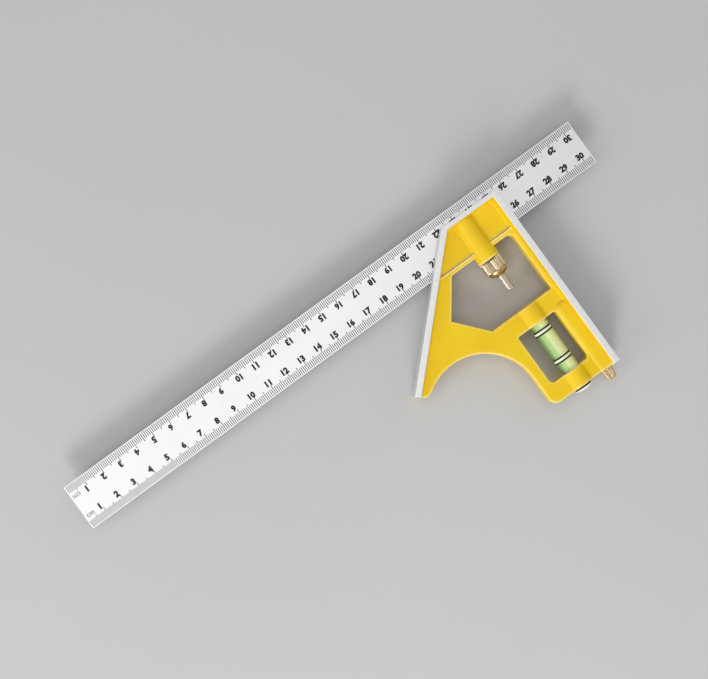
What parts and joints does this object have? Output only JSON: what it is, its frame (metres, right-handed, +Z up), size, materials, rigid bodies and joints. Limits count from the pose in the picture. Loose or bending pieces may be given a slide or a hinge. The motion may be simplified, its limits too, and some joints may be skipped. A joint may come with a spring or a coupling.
{
  "type": "combination square",
  "caption": "Graduated steel rule that slides and locks in a die-cast head with square and mitre faces, a level vial, a draw-bolt lock and a pull-out scriber.",
  "frame": {"origin": "middle of the tool's footprint, on the surface that the head's rims lie on", "axes": "+X along the rule from its zero end, +Y across the rule from the head's legs towards the rule's far edge, +Z up off the face that the tool lies on"},
  "size_m": [0.305, 0.1154, 0.018],
  "materials": {
    "rule_steel": "satin",
    "yellow_enamel": "satin",
    "machined_rim": "satin",
    "bolt_steel": "satin",
    "brass": "satin",
    "vial_acrylic": "gloss",
    "vial_liquid": "gloss",
    "vial_air": "gloss",
    "printed_black": "matte",
    "white_plastic": "satin",
    "black_rubber": "matte"
  },
  "bodies": {
    "head": {"head_casting": "yellow_enamel", "vial_tube": "vial_acrylic", "vial_liquid": "vial_liquid", "vial_end_plug": "vial_acrylic", "vial_bore_plug": "white_plastic", "vial_bore_gasket": "black_rubber", "scriber_bushing": "brass", "lock_spring": "bolt_steel"},
    "rule": {"rule_blade": "rule_steel"},
    "lock_bolt": {"lock_bolt": "bolt_steel"},
    "lock_nut": {"lock_nut": "brass"},
    "scriber": {"scriber_needle": "bolt_steel", "scriber_knob": "brass"},
    "bubble": {"vial_bubble": "vial_air"}
  },
  "joints": [
    {"name": "rule_slide", "type": "slide", "parent": "head", "child": "rule", "axis": [1, 0, 0], "range_m": [-0.065, 0.225]},
    {"name": "lock_nut_turn", "type": "hinge", "parent": "head", "child": "lock_nut", "pos_m": [0.0808, 0.0212, 0.009], "axis": [0, -1, 0], "range_deg": [0, 540]},
    {"name": "lock_bolt_lift", "type": "slide", "parent": "head", "child": "lock_bolt", "axis": [0, 1, 0], "range_m": [0, 0.0012], "deforming": ["lock_spring"]},
    {"name": "scriber_draw", "type": "slide", "parent": "head", "child": "scriber", "axis": [0, -1, 0], "range_m": [0, 0.036]},
    {"name": "bubble_travel", "type": "slide", "parent": "head", "child": "bubble", "axis": [0, 1, 0], "range_m": [-0.008, 0.008]}
  ],
  "couplings": [
    {"joint": "lock_nut_turn", "follows": "lock_bolt_lift", "rad_per_m": 7854}
  ]
}
